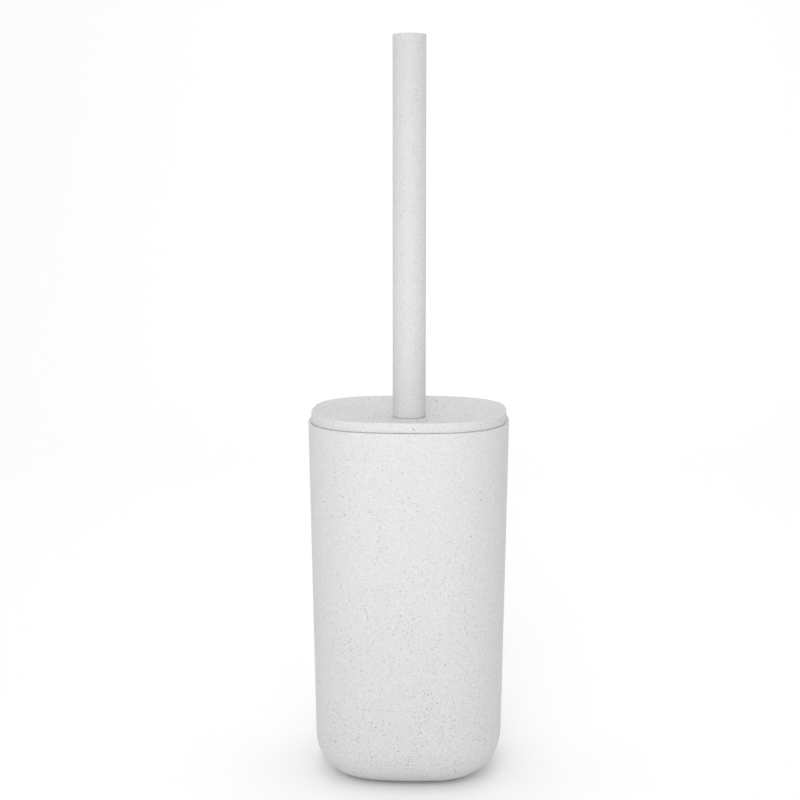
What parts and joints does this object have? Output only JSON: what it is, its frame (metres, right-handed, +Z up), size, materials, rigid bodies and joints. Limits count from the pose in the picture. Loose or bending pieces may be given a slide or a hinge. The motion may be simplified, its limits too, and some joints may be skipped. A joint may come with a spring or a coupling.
{
  "type": "toilet brush holder",
  "caption": "Free-standing soft-square cup in speckled off-white plastic, with a lidded toilet brush whose straight round handle stands in the dished lid.",
  "frame": {"origin": "middle of the plane that the foot pads rest on, under the handle's axis", "axes": "+Z up along the handle; -Y is the front side; X and Y run to the middles of the cup's sides"},
  "size_m": [0.1, 0.1, 0.3674],
  "materials": {
    "stone_plastic": "matte off-white with a fine grey-olive speckle",
    "white_plastic": "plain satin white",
    "grey_rubber": "soft matte grey",
    "bristle_nylon": "translucent white filaments",
    "anchor_wire": "bright drawn flat wire"
  },
  "bodies": {
    "cup": {"holder_cup": "stone_plastic", "foot_pad_1": "grey_rubber", "foot_pad_2": "grey_rubber", "foot_pad_3": "grey_rubber", "foot_pad_4": "grey_rubber"},
    "brush": {"lid": "stone_plastic", "handle_tube": "stone_plastic", "handle_insert": "white_plastic", "lid_washer": "grey_rubber", "stem": "white_plastic"},
    "head_seal": {"head_seal_ring": "grey_rubber"},
    "head": {"brush_core": "white_plastic", "tuft_anchors": "anchor_wire", "bristle_ring_01": "bristle_nylon", "bristle_ring_02": "bristle_nylon", "bristle_ring_03": "bristle_nylon", "bristle_ring_04": "bristle_nylon", "bristle_ring_05": "bristle_nylon", "bristle_ring_06": "bristle_nylon", "bristle_ring_07": "bristle_nylon", "bristle_ring_08": "bristle_nylon", "bristle_ring_09": "bristle_nylon", "bristle_ring_10": "bristle_nylon"}
  },
  "joints": [
    {"name": "brush_lift", "type": "slide", "parent": "cup", "child": "brush", "axis": [0, 0, 1], "range_m": [0, 0.18]},
    {"name": "head_turn", "type": "hinge", "parent": "brush", "child": "head_seal", "pos_m": [0, 0, 0.104], "axis": [0, 0, -1], "range_deg": [0, 1890]},
    {"name": "head_unscrew", "type": "slide", "parent": "head_seal", "child": "head", "axis": [0, 0, -1], "range_m": [0, 0.0106]}
  ],
  "couplings": [
    {"joint": "head_unscrew", "follows": "head_turn", "m_per_rad": 0.00031831}
  ]
}
